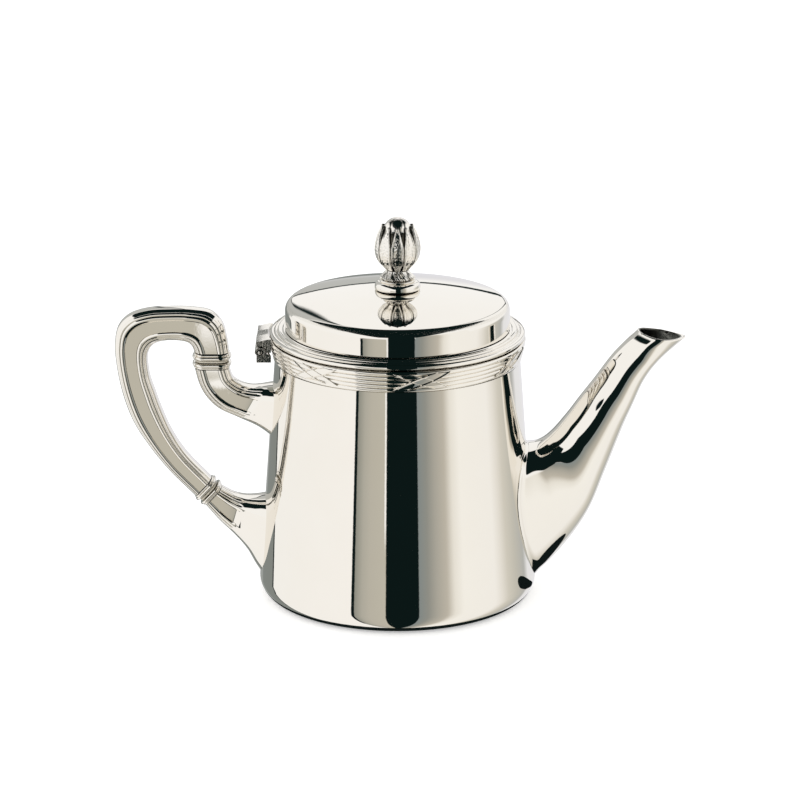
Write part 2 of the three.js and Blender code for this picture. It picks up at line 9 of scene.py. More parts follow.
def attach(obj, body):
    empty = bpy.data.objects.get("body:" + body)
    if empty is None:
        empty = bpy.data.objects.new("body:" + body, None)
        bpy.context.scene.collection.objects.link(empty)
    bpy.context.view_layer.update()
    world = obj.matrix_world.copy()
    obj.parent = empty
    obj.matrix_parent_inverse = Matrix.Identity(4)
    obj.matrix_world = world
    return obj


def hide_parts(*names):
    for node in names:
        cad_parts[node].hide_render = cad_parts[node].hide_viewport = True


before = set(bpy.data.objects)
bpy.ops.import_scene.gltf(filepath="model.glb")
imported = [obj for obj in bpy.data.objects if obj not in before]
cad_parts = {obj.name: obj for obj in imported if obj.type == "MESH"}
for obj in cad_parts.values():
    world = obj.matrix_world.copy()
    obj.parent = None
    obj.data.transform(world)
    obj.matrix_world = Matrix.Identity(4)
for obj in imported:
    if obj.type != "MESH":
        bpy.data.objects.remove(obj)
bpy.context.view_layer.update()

MM = 0.001
TAU = 2 * math.pi

# ---- dimensions in millimetres, the same as the solids' -------------------------------------------
BODY_BASE_R, BODY_MAX_R, BASE_EDGE_H = 49.2, 56.0, 7.5
WAY_X, WAY_Z, WAY_R, WAY_LENGTH = 55.0, 36.0, 12.0, 30.0  # the round way from the body into the spout
SHOULDER_R, BAND_Z, NECK_R, MOUTH_Z = 49.3, 98.8, 48.4, 107.1
WALL, BASE_LIP, GAP = 1.4, 2.2, 0.3
MOUTH_RING_R, MOUTH_RING_Z = 45.6, 103.2
BAND_TOP, BAND_R = 107.4, 51.4
CROSSINGS = 7
CROSSING_TURN = math.radians(-1.9)  # the ribbons' turn from an even start at the hinge
RIM_Z, RIM_R, RIM_BORE = 107.9, 51.2, 43.2
LID_R, LID_T, LID_FOOT, LID_SHOULDER, LID_FILLET = 45.0, 1.2, 111.3, 122.2, 3.8
LID_EDGE_SLOPE = math.radians(13.5)  # of the lid's top where it meets the rounded shoulder
BEZEL_R, BEZEL_T, BEZEL_Z, BEZEL_TOP = 44.0, 1.0, 103.6, 107.6
HINGE_X, HINGE_Z, HINGE_HALF = -54.8, 103.8, 12.0
HINGE_REAR, HINGE_FRONT, LEAF_Z = -56.2, -50.0, 99.7  # the leaves' flat sides and the lower one's foot
LEAF_BORE = 51.75  # radius of the leaves' hollow side, just outside the band and the lid's rim
KNUCKLE_R, KNUCKLE_HALF = 2.1, 4.2
HANDLE_DEPTH = 5.5


# ---- meshes ---------------------------------------------------------------------------------------
def finish_mesh(name, shape, material, body, nodes, sharp):
    """Makes a smooth piece of (points in millimetres, faces); creases over sharp degrees stay sharp."""
    verts, faces = shape
    mesh = bpy.data.meshes.new(name)
    mesh.from_pydata([tuple(v) for v in np.asarray(verts, float) * MM], [], faces)
    mesh.validate()
    bm = bmesh.new()
    bm.from_mesh(mesh)
    bmesh.ops.remove_doubles(bm, verts=bm.verts, dist=1e-6)
    bmesh.ops.recalc_face_normals(bm, faces=bm.faces)
    bm.to_mesh(mesh)
    bm.free()
    mesh.shade_smooth()
    mesh.set_sharp_from_angle(angle=math.radians(sharp))
    mesh.materials.append(material)
    obj = bpy.data.objects.new(name, mesh)
    bpy.context.scene.collection.objects.link(obj)
    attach(obj, body)
    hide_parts(*nodes)
    return obj


def merged(*parts):
    verts, faces = [], []
    for v, f in parts:
        start = len(verts)
        verts.extend([tuple(p) for p in v])
        faces.extend([tuple(i + start for i in face) for face in f])
    return verts, faces


def grid(rows, closed_rows=False, capped=False):
    """rows[r][c] is a point of a ring; quads between the rings, with optional caps on a tube's ends."""
    rows = np.asarray(rows, float)
    count, cols = rows.shape[:2]
    verts = rows.reshape(-1, 3).tolist()
    faces = []
    for r in range(count if closed_rows else count - 1):
        s = (r + 1) % count
        for c in range(cols):
            d = (c + 1) % cols
            faces.append((r * cols + c, r * cols + d, s * cols + d, s * cols + c))
    for r in (0, count - 1) if capped else ():
        centre = len(verts)
        verts.append(rows[r].mean(axis=0).tolist())
        for c in range(cols):
            faces.append((r * cols + (c + 1) % cols, r * cols + c, centre))
    return verts, faces


def clamp(t):
    return max(0.0, min(1.0, t))


def smoothstep(t):
    t = clamp(t)
    return t * t * (3 - 2 * t)


def spline(points, count):
    """Centripetal Catmull-Rom through the points, at count even steps of its own parameter."""
    p = np.asarray(points, float)
    p = np.vstack([2 * p[0] - p[1], p, 2 * p[-1] - p[-2]])
    out = []
    for u in np.linspace(0, len(points) - 1, count):
        k = min(int(u), len(points) - 2)
        t = u - k
        p0, p1, p2, p3 = p[k : k + 4]
        knots = [0.0]
        for a, b in ((p0, p1), (p1, p2), (p2, p3)):
            knots.append(knots[-1] + max(np.linalg.norm(b - a), 1e-6) ** 0.5)
        t0, t1, t2, t3 = knots
        x = t1 + t * (t2 - t1)
        a1 = (t1 - x) / (t1 - t0) * p0 + (x - t0) / (t1 - t0) * p1
        a2 = (t2 - x) / (t2 - t1) * p1 + (x - t1) / (t2 - t1) * p2
        a3 = (t3 - x) / (t3 - t2) * p2 + (x - t2) / (t3 - t2) * p3
        b1 = (t2 - x) / (t2 - t0) * a1 + (x - t0) / (t2 - t0) * a2
        b2 = (t3 - x) / (t3 - t1) * a2 + (x - t1) / (t3 - t1) * a3
        out.append((t2 - x) / (t2 - t1) * b1 + (x - t1) / (t2 - t1) * b2)
    return np.array(out)


def rounded(corners, step, arc=6):
    """A closed outline of (r, z, fillet) corners, its corners rounded and its long sides divided."""
    n = len(corners)
    out = []
    for k in range(n):
        p = np.array(corners[k][:2], float)
        before = np.array(corners[k - 1][:2], float)
        after = np.array(corners[(k + 1) % n][:2], float)
        a = (before - p) / np.linalg.norm(before - p)
        b = (after - p) / np.linalg.norm(after - p)
        half = math.acos(max(-1, min(1, float(a @ b)))) / 2
        reach = corners[k][2] / math.tan(half)
        reach = min(reach, 0.49 * np.linalg.norm(before - p), 0.49 * np.linalg.norm(after - p))
        r = reach * math.tan(half)
        centre = p + (a + b) / np.linalg.norm(a + b) * (r / math.sin(half))
        v0, v1 = p + a * reach - centre, p + b * reach - centre
        a0, a1 = math.atan2(v0[1], v0[0]), math.atan2(v1[1], v1[0])
        turn = (a1 - a0 + math.pi) % TAU - math.pi
        for i in range(arc + 1):
            w = a0 + turn * i / arc
            out.append(centre + r * np.array([math.cos(w), math.sin(w)]))
    dense = []
    for k in range(len(out)):
        p, q = out[k], out[(k + 1) % len(out)]
        dense.append(p)
        pieces = int(np.linalg.norm(q - p) // step)
        for i in range(1, pieces + 1):
            dense.append(p + (q - p) * i / (pieces + 1))
    return dense


def lathe(outline, facets):
    rows = []
    for i in range(facets):
        a = TAU * i / facets
        rows.append([(r * math.cos(a), r * math.sin(a), z) for r, z in outline])
    return grid(rows, closed_rows=True)


# ---- materials ------------------------------------------------------------------------------------
def silver(name, colour, low_rough, high_rough, grain, bump, shade_and_tarnish=None, cavity=False):
    """Polished metal: cloudy polish marks in the roughness and a very fine wiped grain in the surface."""
    mat = bpy.data.materials.new(name)
    mat.use_nodes = True
    tree = mat.node_tree
    nodes, links = tree.nodes, tree.links
    shader = nodes["Principled BSDF"]
    shader.inputs["Metallic"].default_value = 1.0
    coords = nodes.new("ShaderNodeTexCoord")
    cloud = nodes.new("ShaderNodeTexNoise")
    cloud.inputs["Scale"].default_value = 55.0
    cloud.inputs["Detail"].default_value = 3.0
    links.new(coords.outputs["Object"], cloud.inputs["Vector"])
    rough = nodes.new("ShaderNodeMapRange")
    rough.inputs["From Min"].default_value = 0.35
    rough.inputs["From Max"].default_value = 0.7
    rough.inputs["To Min"].default_value = low_rough
    rough.inputs["To Max"].default_value = high_rough
    links.new(cloud.outputs["Fac"], rough.inputs["Value"])
    links.new(rough.outputs["Result"], shader.inputs["Roughness"])
    tint = nodes.new("ShaderNodeMix")
    tint.data_type = "RGBA"
    tint.inputs["A"].default_value = (*colour, 1)
    dark = shade_and_tarnish or tuple(c * f for c, f in zip(colour, (0.975, 0.965, 0.95)))
    tint.inputs["B"].default_value = (*dark, 1)
    # with cavity, the colour goes towards the dark one where the recess mark is high: painted shade in
    # hollows, grooves and under the petals
    if cavity:
        mark = nodes.new("ShaderNodeAttribute")
        mark.attribute_name = "recess_shade"
        speckle = nodes.new("ShaderNodeMath")
        speckle.operation = "MULTIPLY_ADD"
        links.new(cloud.outputs["Fac"], speckle.inputs[0])
        speckle.inputs[1].default_value = 0.3
        links.new(mark.outputs["Fac"], speckle.inputs[2])
        ramp = nodes.new("ShaderNodeMapRange")
        ramp.inputs["From Min"].default_value = 0.25
        ramp.inputs["From Max"].default_value = 1.1
        links.new(speckle.outputs["Value"], ramp.inputs["Value"])
        links.new(ramp.outputs["Result"], tint.inputs["Factor"])
    else:
        links.new(cloud.outputs["Fac"], tint.inputs["Factor"])
    links.new(tint.outputs["Result"], shader.inputs["Base Color"])
    fine = nodes.new("ShaderNodeTexNoise")
    fine.inputs["Scale"].default_value = grain
    fine.inputs["Detail"].default_value = 2.0
    links.new(coords.outputs["Object"], fine.inputs["Vector"])
    relief = nodes.new("ShaderNodeBump")
    relief.inputs["Strength"].default_value = bump
    relief.inputs["Distance"].default_value = 0.0002
    links.new(fine.outputs["Fac"], relief.inputs["Height"])
    links.new(relief.outputs["Normal"], shader.inputs["Normal"])
    return mat


def mottled(name, rough, scale, dark, light, space="Generated"):
    """A material without metal whose colour drifts between two close shades."""
    mat = bpy.data.materials.new(name)
    mat.use_nodes = True
    nodes, links = mat.node_tree.nodes, mat.node_tree.links
    shader = nodes["Principled BSDF"]
    shader.inputs["Roughness"].default_value = rough
    coords = nodes.new("ShaderNodeTexCoord")
    grain = nodes.new("ShaderNodeTexNoise")
    grain.inputs["Scale"].default_value = scale
    links.new(coords.outputs[space], grain.inputs["Vector"])
    ramp = nodes.new("ShaderNodeValToRGB")
    ramp.color_ramp.elements[0].color = (*dark, 1)
    ramp.color_ramp.elements[1].color = (*light, 1)
    links.new(grain.outputs["Fac"], ramp.inputs["Fac"])
    links.new(ramp.outputs["Color"], shader.inputs["Base Color"])
    return mat


WARM = (0.915, 0.885, 0.830)
MIRROR = silver("mirror_silver", WARM, 0.012, 0.03, 900.0, 0.010)
REEDED = silver("reeded_silver", WARM, 0.02, 0.04, 1200.0, 0.03)
SATIN = silver("satin_silver", WARM, 0.10, 0.22, 1200.0, 0.12)
# the chased pieces go near-black where their recess mark is high: painted shade in the chased hollows
CHASED = silver("chased_silver", WARM, 0.07, 0.16, 2200.0, 0.4, (0.10, 0.095, 0.075), cavity=True)
INSIDE = silver("inside_silver", (0.86, 0.83, 0.77), 0.12, 0.26, 500.0, 0.10)
DULL = silver("spout_inside_silver", (0.30, 0.30, 0.27), 0.22, 0.5, 420.0, 1.0, (0.05, 0.05, 0.045))
# near-black rings at the pin's ends: painted shade in the seam between the pin and the leaves
SEAM_SHADE = silver("painted_shade_in_the_pin_seam", (0.05, 0.05, 0.045), 0.5, 0.7, 900.0, 0.3)
FIXING = silver("fixing_nickel", (0.60, 0.58, 0.54), 0.20, 0.34, 700.0, 0.12)
RESIN = mottled("pale_resin", 0.28, 400.0, (0.52, 0.48, 0.38), (0.66, 0.62, 0.52), "Object")


# ---- body -----------------------------------------------------------------------------------------
def body_radius(z):
    """Outside radius of the body at a height."""
    if z < BASE_EDGE_H:
        drop = 1 - max(0.0, z) / BASE_EDGE_H
        return BODY_BASE_R + (BODY_MAX_R - BODY_BASE_R) * math.sqrt(max(0.0, 1 - drop * drop))
    return BODY_MAX_R + (SHOULDER_R - BODY_MAX_R) * (z - BASE_EDGE_H) / (BAND_Z - GAP - BASE_EDGE_H)


def carve(obj, bm, name):
    """Cuts a solid out of a piece and drops the cutter."""
    cutter_mesh = bpy.data.meshes.new(name)
    bm.to_mesh(cutter_mesh)
    bm.free()
    cutter = bpy.data.objects.new(name, cutter_mesh)
    bpy.context.scene.collection.objects.link(cutter)
    cut = obj.modifiers.new(name, "BOOLEAN")
    cut.operation = "DIFFERENCE"
    cut.solver = "EXACT"
    cut.object = cutter
    bpy.context.view_layer.update()
    evaluated = obj.evaluated_get(bpy.context.evaluated_depsgraph_get())
    mesh = bpy.data.meshes.new_from_object(evaluated)
    obj.modifiers.clear()
    obj.data = mesh
    bpy.data.objects.remove(cutter)


def build_body():
    outer = []
    for i in range(17):
        a = i / 16 * math.pi / 2
        reach = BODY_BASE_R + (BODY_MAX_R - BODY_BASE_R) * math.sin(a)
        outer.append((reach, BASE_EDGE_H * (1 - math.cos(a))))
    wall = np.linspace(BASE_EDGE_H, BAND_Z - GAP, 46)[1:]
    outer += [(body_radius(z), z) for z in wall]
    top = [
        (NECK_R, BAND_Z - GAP),
        (NECK_R, MOUTH_Z - 0.3),
        (NECK_R - 0.3, MOUTH_Z),
        (NECK_R - WALL + 0.3, MOUTH_Z),
        (NECK_R - WALL, MOUTH_Z - 0.3),
    ]
    inner = [(body_radius(z) - WALL, z) for z in np.linspace(BAND_Z - 2, BASE_EDGE_H + 1, 24)]
    foot = [
        (BODY_MAX_R - 3.0, 3.8),
        (BODY_BASE_R + 0.8, WALL),
        (BODY_BASE_R - BASE_LIP, WALL),
        (BODY_BASE_R - BASE_LIP, 0.15),
        (BODY_BASE_R - BASE_LIP + 0.2, 0.0),
    ]
    shape = lathe(outer + top + inner + foot, 256)
    obj = finish_mesh("body_shell_skin", shape, MIRROR, "pot", ["body_shell"], 50)
    # the round way through into the spout
    bm = bmesh.new()
    way_r, depth = WAY_R * MM, WAY_LENGTH * MM
    bmesh.ops.create_cone(bm, cap_ends=True, segments=64, radius1=way_r, radius2=way_r, depth=depth)
    lying = Matrix.Rotation(math.pi / 2, 3, "Y")
    bmesh.ops.rotate(bm, verts=bm.verts, cent=(0, 0, 0), matrix=lying)
    bmesh.ops.translate(bm, verts=bm.verts, vec=(WAY_X * MM, 0, WAY_Z * MM))
    carve(obj, bm, "way_through")
    # the inside is less polished
    obj.data.materials.append(INSIDE)
    for poly in obj.data.polygons:
        radius, z = math.hypot(poly.center.x, poly.center.y) / MM, poly.center.z / MM
        outside = body_radius(z) if z < BAND_Z - 1 else NECK_R
        if z > 1.0 and outside - radius > 0.9:
            poly.material_index = 1


def build_base_plate():
    r = BODY_BASE_R - BASE_LIP - GAP
    corners = [(0, 0), (r - 0.3, 0), (r, 0.3), (r, 1.6), (0, 1.6)]
    outline = []
    for k in range(len(corners) - 1):
        p, q = np.array(corners[k], float), np.array(corners[k + 1], float)
        steps = max(1, int(np.linalg.norm(q - p) // 3))
        outline += [tuple(p + (q - p) * i / steps) for i in range(steps)]
    outline.append(corners[-1])
    finish_mesh("base_plate_disc", lathe(outline, 160), INSIDE, "pot", ["base_plate"], 40)


def build_mouth_ring():
    outline = rounded(
        [
            (MOUTH_RING_R, MOUTH_RING_Z, 0.3),
            (NECK_R - WALL - GAP, MOUTH_RING_Z, 0.15),
            (NECK_R - WALL - GAP, MOUTH_Z, 0.15),
            (MOUTH_RING_R, MOUTH_Z, 0.3),
        ],
        2.0,
    )
    finish_mesh("mouth_ring_turned", lathe(outline, 192), REEDED, "pot", ["mouth_ring"], 50)


# ---- reeded band ----------------------------------------------------------------------------------
REED_PITCH = (BAND_TOP - BAND_Z) / 5
REED_CRESTS = [49.95, 50.4, 50.8, 51.1, BAND_R]  # radius at the crest of each reed, from the bottom


def band_profile():
    points = [(NECK_R + GAP, BAND_Z)]
    half = REED_PITCH / 2
    for k, crest in enumerate(REED_CRESTS):
        centre = BAND_Z + REED_PITCH * (k + 0.5)
        for i in range(13):
            a = math.pi * (i / 12 - 0.5) * 0.94
            points.append((crest - 0.72 * (1 - math.cos(a)), centre + half * math.sin(a)))
    points += [(NECK_R + GAP, BAND_TOP)]
    return points


RIBBON_RUN, RIBBON_END_HALF, RIBBON_MID_HALF = 8.7, 3.2, 5.0
RIBBON_EDGE = 0.42  # radius of a ribbon's raised edge


def ribbon(centre, lean, lift):
    """A flat ribbon with raised edges that crosses the reeds on a slant, wider at its middle."""
    rows = []
    low, high = BAND_Z + 0.9, BAND_TOP - 0.5
    for j in range(33):
        t = j / 32
        z = low + (high - low) * t
        half = RIBBON_END_HALF + (RIBBON_MID_HALF - RIBBON_END_HALF) * math.sin(math.pi * t)
        crest = np.interp(z, [BAND_Z + REED_PITCH * (k + 0.5) for k in range(5)], REED_CRESTS)
        sink = 0.9 * (smoothstep((0.05 - t) / 0.05) + smoothstep((t - 0.95) / 0.05))
        top = crest - 0.05 + lift - sink
        side = [(half, top - 1.1)]
        for i in range(9):
            a = math.pi * i / 8
            side.append((half - RIBBON_EDGE * (1 - math.cos(a)), top + RIBBON_EDGE * math.sin(a)))
        side += [(half - 2 * RIBBON_EDGE - 0.25, top - 0.16), (half * 0.4, top - 0.12)]
        row = []
        for w, r in side + [(-w, r) for w, r in side[::-1]]:
            along = lean * RIBBON_RUN * (2 * t - 1) + w
            a = centre + along / BAND_R
            row.append((r * math.cos(a), r * math.sin(a), z))
        rows.append(row)
    return grid(rows, capped=True)


def build_band():
    parts = [lathe(band_profile(), 288)]
    for k in range(1, CROSSINGS):
        centre = math.pi + CROSSING_TURN + TAU * k / CROSSINGS
        parts.append(ribbon(centre, 1, 0.42))
        parts.append(ribbon(centre, -1, 0.12))
    finish_mesh("reeded_band_ribbons", merged(*parts), REEDED, "pot", ["reeded_band"], 60)


# ---- spout ----------------------------------------------------------------------------------------
SPOUT = [  # upper edge x, z, lower edge x, z, half width across
    (43.0, 60.6, 44.0, 4.0, 25.0),
    (51.5, 62.0, 56.2, 8.0, 20.0),
    (57.0, 63.2, 68.0, 20.0, 15.8),
    (61.8, 67.0, 77.2, 34.0, 12.6),
    (67.9, 74.5, 83.9, 51.0, 11.5),
    (73.5, 82.3, 91.1, 70.5, 10.2),
    (79.0, 89.7, 94.9, 79.5, 8.8),
    (85.8, 99.2, 99.3, 89.6, 8.1),
    (91.0, 105.0, 104.9, 97.4, 8.0),
    (95.9, 109.6, 115.5, 107.1, 8.2),
]
LIP_SAG = 0.9  # how far the rim dips between its heel and its beak
SPOUT_STEPS, SPOUT_WALL = 180, 1.1
OUTER_ROWS, RIM_ROWS, INNER_ROWS = 150, 7, 60


def spout_point(station, angle, inset, t):
    """Point on the spout: fullest beside the body at the root, and nearer its lower edge above."""
    ax, az, bx, bz, w = station
    length = math.hypot(ax - bx, az - bz) / 2
    v = math.sin(angle)
    lean = 0.38 * smoothstep((t - 0.3) / 0.33) - 0.26
    lean -= 0.12 * smoothstep((t - 0.85) / 0.15)
    u = math.cos(angle) - lean * v * v
    draw = smoothstep((t - 0.86) / 0.14) * 0.30 * max(0.0, -u)
    across = (u * (1 - inset / length) + 1) / 2
    sag = LIP_SAG * smoothstep((t - 0.92) / 0.08) * v * v
    return (
        bx + (ax - bx) * across,
        v * (1 - draw) * (w - inset),
        bz + (az - bz) * across - sag,
    )


def build_spout():
    stations = spline(SPOUT, SPOUT_STEPS + 1)
    cols = 72

    def station_at(t):
        x = t * SPOUT_STEPS
        k = min(int(x), SPOUT_STEPS - 1)
        return stations[k] + (stations[k + 1] - stations[k]) * (x - k)

    def start_of(angle, inset):
        """Where a line of the spout leaves the body's wall."""
        sunk = 0.25 if inset == 0 else 0.9
        for t in np.linspace(0, 0.5, 401):
            x, y, z = spout_point(station_at(t), angle, inset, t)
            if math.hypot(x, y) > body_radius(z) - sunk:
                return t
        return 0.5

    angles = [TAU * c / cols for c in range(cols)]
    outer0 = [start_of(a, 0.0) for a in angles]
    inner0 = [start_of(a, SPOUT_WALL) for a in angles]
    rows = []
    for j in range(OUTER_ROWS + 1):
        s = j / OUTER_ROWS
        row = []
        for a, t0 in zip(angles, outer0):
            t = t0 + (1 - t0) * s
            flare = -0.9 * (1 - smoothstep(s / 0.035)) ** 2
            row.append(spout_point(station_at(t), a, flare, t))
        rows.append(row)
    # the rim is rolled, thin at the heel and broad at the beak
    for i in range(1, RIM_ROWS + 1):
        share = i / (RIM_ROWS + 1)
        a = math.pi * share
        row = []
        for b in angles:
            broad = SPOUT_WALL + 1.5 * max(0.0, -math.cos(b)) ** 2
            inset = broad * (1 - math.cos(a)) / 2
            rise = 0.5 * math.sin(a) - 0.5 * (broad - SPOUT_WALL) * share
            x, y, z = spout_point(stations[-1], b, inset, 1.0)
            row.append((x, y, z + rise))
        rows.append(row)
    for j in range(INNER_ROWS + 1):
        s = 1 - j / INNER_ROWS
        row = []
        for a, t0 in zip(angles, inner0):
            t = t0 + (1 - t0) * s
            row.append(spout_point(station_at(t), a, SPOUT_WALL, t))
        rows.append(row)
    obj = finish_mesh("spout_swan_neck", grid(rows, closed_rows=True), MIRROR, "pot", ["spout"], 60)
    obj.data.materials.append(DULL)
    inside_from = (OUTER_ROWS + 5) * cols
    for poly in obj.data.polygons:
        if min(poly.vertices) >= inside_from:
            poly.material_index = 1


# ---- handle ---------------------------------------------------------------------------------------
PANEL = 0.375  # half width of the flat panel on the handle's side, as a share of the handle's
REED_RISE, REED_STEPS = 0.055, 9
SQUARENESS = 2.0 / 2.4  # power that squares the handle's rounded edge


def handle_section(relief):
    """Shares (across, deep) of the handle's half sizes: flat sunk panels, two reeds and a broad bead."""
    quarter = []
    # panel, from its middle to its edge
    sunk = 1 - REED_RISE * relief
    for u in (0.0, 0.12, 0.24, 0.32, PANEL - 0.035):
        quarter.append((u, sunk))
    quarter.append((PANEL - 0.012, sunk - 0.05 * relief))
    # the two reeds and the bead follow the rounded edge between these shares of its quarter turn
    for start, end in ((0.0, 0.25), (0.25, 0.50), (0.50, 1.0)):
        for i in range(REED_STEPS + 1):
            a = (start + (end - start) * i / REED_STEPS) * math.pi / 2
            if end == 1.0:
                crown = math.sin(math.pi / 2 * min(1.0, i / 4))
            else:
                crown = math.sin(math.pi * i / REED_STEPS)
            bump = relief * REED_RISE * (crown - 1)
            ca, sa = math.cos(a), math.sin(a)
            u = PANEL + (1 - PANEL) * sa**SQUARENESS
            v = max(ca, 0.0) ** SQUARENESS
            nu, nv = sa * 0.75, ca
            n = math.hypot(nu, nv)
            quarter.append((u + bump * nu / n, v + bump * nv / n))
    clean = [quarter[0]]
    for p in quarter[1:]:
        if math.hypot(p[0] - clean[-1][0], p[1] - clean[-1][1]) > 1e-4:
            clean.append(p)
    half = clean + [(u, -v) for u, v in clean[::-1][1:]]
    return half + [(-u, -v) for u, v in half[1:-1]]


RELIEF = handle_section(1.0)
SMOOTH = handle_section(0.0)


def edge_rows(stations, steps, fade=None):
    """Rows of points along a rail of edge pairs, evenly spaced by length."""
    track = spline(stations, steps * 4)
    middle = (track[:, 0:2] + track[:, 2:4]) / 2
    length = np.concatenate([[0], np.cumsum(np.linalg.norm(np.diff(middle, axis=0), axis=1))])
    rows = []
    for j in range(steps + 1):
        want = length[-1] * j / steps
        ax, az, bx, bz, deeper = [np.interp(want, length, track[:, c]) for c in range(5)]
        depth = HANDLE_DEPTH + deeper
        t = j / steps
        k = 0.0 if fade is None else smoothstep((t - fade[0]) / (fade[1] - fade[0]))
        row = []
        for (u0, v0), (u1, v1) in zip(RELIEF, SMOOTH):
            u, v = u0 + (u1 - u0) * k, v0 + (v1 - v0) * k
            across = (u + 1) / 2
            row.append((bx + (ax - bx) * across, v * depth, bz + (az - bz) * across))
        rows.append(row)
    return rows


UPPER_SEAT = dict(x=-74.4, z=97.8, half=7.0, across=(1.0, 0.0), down=(0.0, -1.0))
TILT = math.radians(43)
LOWER_SEAT = dict(
    x=-76.6,
    z=42.4,
    half=4.9,
    across=(math.sin(TILT), math.cos(TILT)),
    down=(math.cos(TILT), -math.sin(TILT)),
)
UPPER_DISC, UPPER_BEAD_END = 0.45, 3.1  # half thickness of the disc, end of the beads beside it
LOWER_DISC, LOWER_BEAD_END = 0.4, 2.65


def seat_station(seat, run, side):
    """The handle's section beside a joint; side tells which of its edges comes first."""
    cx, cz = seat["x"] + run * seat["down"][0], seat["z"] + run * seat["down"][1]
    h = seat["half"] * side
    ux, uz = seat["across"]
    return (cx + h * ux, cz + h * uz, cx - h * ux, cz - h * uz, 0.0)


# each station: the section's two edges, x, z and x, z, and how much deeper than the grip it is
GRIP = [
    seat_station(UPPER_SEAT, -UPPER_BEAD_END - GAP, 1),
    (-68.2, 107.0, -82.4, 103.6, 0.0),
    (-70.0, 113.4, -84.2, 105.2, 0.0),
    (-74.4, 117.8, -86.8, 105.8, 0.0),
    (-82.0, 119.3, -89.6, 106.0, 0.0),
    (-91.0, 119.5, -92.6, 105.9, 0.0),
    (-100.0, 118.9, -95.6, 105.3, 0.0),
    (-107.4, 116.4, -98.1, 103.8, 0.0),
    (-111.7, 111.8, -99.6, 101.4, 0.0),
    (-113.2, 104.6, -100.1, 98.2, 0.0),
    (-112.5, 94.0, -99.3, 91.0, 0.0),
    (-110.1, 82.2, -97.2, 84.3, 0.0),
    (-106.4, 72.0, -95.2, 78.3, 0.0),
    (-100.4, 62.0, -91.2, 68.5, 0.0),
    (-92.6, 51.8, -85.4, 59.0, 0.0),
    seat_station(LOWER_SEAT, -LOWER_BEAD_END - GAP, -1),
]
UPPER_MOUNT = [
    seat_station(UPPER_SEAT, UPPER_BEAD_END + GAP, 1),
    (-65.8, 90.2, -79.8, 88.2, 0.1),
    (-62.4, 87.9, -77.2, 83.0, 0.3),
    (-58.5, 86.8, -72.3, 77.9, 0.6),
    (-54.5, 87.0, -64.0, 73.9, 1.5),
    (-50.5, 87.5, -55.6, 70.0, 3.6),
    (-46.0, 88.2, -47.0, 63.5, 6.4),
]
LOWER_MOUNT = [
    seat_station(LOWER_SEAT, LOWER_BEAD_END + GAP, 1),
    (-66.0, 41.3, -72.1, 30.1, 0.4),
    (-61.5, 40.2, -65.9, 24.0, 1.6),
    (-57.0, 40.2, -61.1, 18.3, 3.3),
    (-52.8, 40.8, -57.4, 11.8, 5.2),
    (-48.0, 41.6, -52.0, 4.0, 7.6),
]


def trim_to_body(rows):
    """Ends every long line of a mount on the body's skin, just inside it."""
    rows = np.asarray(rows, float)
    count, cols = rows.shape[:2]
    out = rows.copy()
    for c in range(cols):
        line = rows[:, c]
        depth = [math.hypot(p[0], p[1]) - body_radius(p[2]) + 0.3 for p in line]
        stop = count - 1.0
        for j in range(1, count):
            if depth[j] < 0 <= depth[j - 1]:
                stop = j - 1 + depth[j - 1] / (depth[j - 1] - depth[j])
                break
        for j in range(count):
            x = stop * j / (count - 1)
            k = min(int(x), count - 2)
            out[j, c] = line[k] + (line[k + 1] - line[k]) * (x - k)
    return out


def build_handle():
    grip = grid(edge_rows(GRIP, 220), capped=True)
    finish_mesh("handle_grip_reeded", grip, MIRROR, "pot", ["handle_grip"], 28)
    for name, stations, fade, node in (
        ("upper_mount_bracket", UPPER_MOUNT, (0.62, 0.70), "handle_upper_mount"),
        ("lower_mount_bracket", LOWER_MOUNT, (0.36, 0.46), "handle_lower_mount"),
    ):
        rows = trim_to_body(edge_rows(stations, 90, fade))
        finish_mesh(name, grid(rows, capped=True), MIRROR, "pot", [node], 28)


def bead_rows(seat, runs):
    """Stacked outlines round the handle: (run along it, how much larger than the handle)."""
    rows = []
    for run, grow in runs:
        row = []
        for u, v in SMOOTH:
            side = u * (seat["half"] + grow)
            row.append(
                (
                    seat["x"] + side * seat["across"][0] + run * seat["down"][0],
                    v * (HANDLE_DEPTH + grow),
                    seat["z"] + side * seat["across"][1] + run * seat["down"][1],
                )
            )
        rows.append(row)
    return rows


def build_collars():
    for tag, seat, disc, end in (
        ("upper", UPPER_SEAT, UPPER_DISC, UPPER_BEAD_END),
        ("lower", LOWER_SEAT, LOWER_DISC, LOWER_BEAD_END),
    ):
        for side, sign in (("grip", -1), ("mount", 1)):
            near = disc + GAP
            span = end - near
            runs = [(sign * near, -0.6)]
            for i in range(15):  # a broad bead, then a fine one
                a = math.pi * i / 14
                run = near + span * 0.62 * (0.5 - 0.5 * math.cos(a))
                runs.append((sign * run, 0.12 + 0.72 * math.sin(a) ** 0.8))
            for i in range(1, 10):
                a = math.pi * i / 9
                run = near + span * (0.62 + 0.36 * (0.5 - 0.5 * math.cos(a)))
                runs.append((sign * run, 0.05 + 0.33 * math.sin(a)))
            runs.append((sign * end, -0.2))
            name = f"{tag}_{side}_ferrule"
            bead = grid(bead_rows(seat, runs), capped=True)
            finish_mesh(name + "_bead", bead, MIRROR, "pot", [name], 50)
        runs = [(-disc, -0.5), (-disc + 0.12, -0.22), (disc - 0.12, -0.22), (disc, -0.5)]
        name = f"{tag}_insulator"
        disc_shape = grid(bead_rows(seat, runs), capped=True)
        finish_mesh(name + "_disc", disc_shape, RESIN, "pot", [name], 50)


# ---- hinge ----------------------------------------------------------------------------------------
def slab(outline, low, high, slices=1):
    """A plate of an (x, z) outline between two places across the pot."""
    rows = []
    for j in range(slices + 1):
        y = low + (high - low) * j / slices
        rows.append([(x, y, z) for x, z in outline])
    return grid(rows, capped=True)


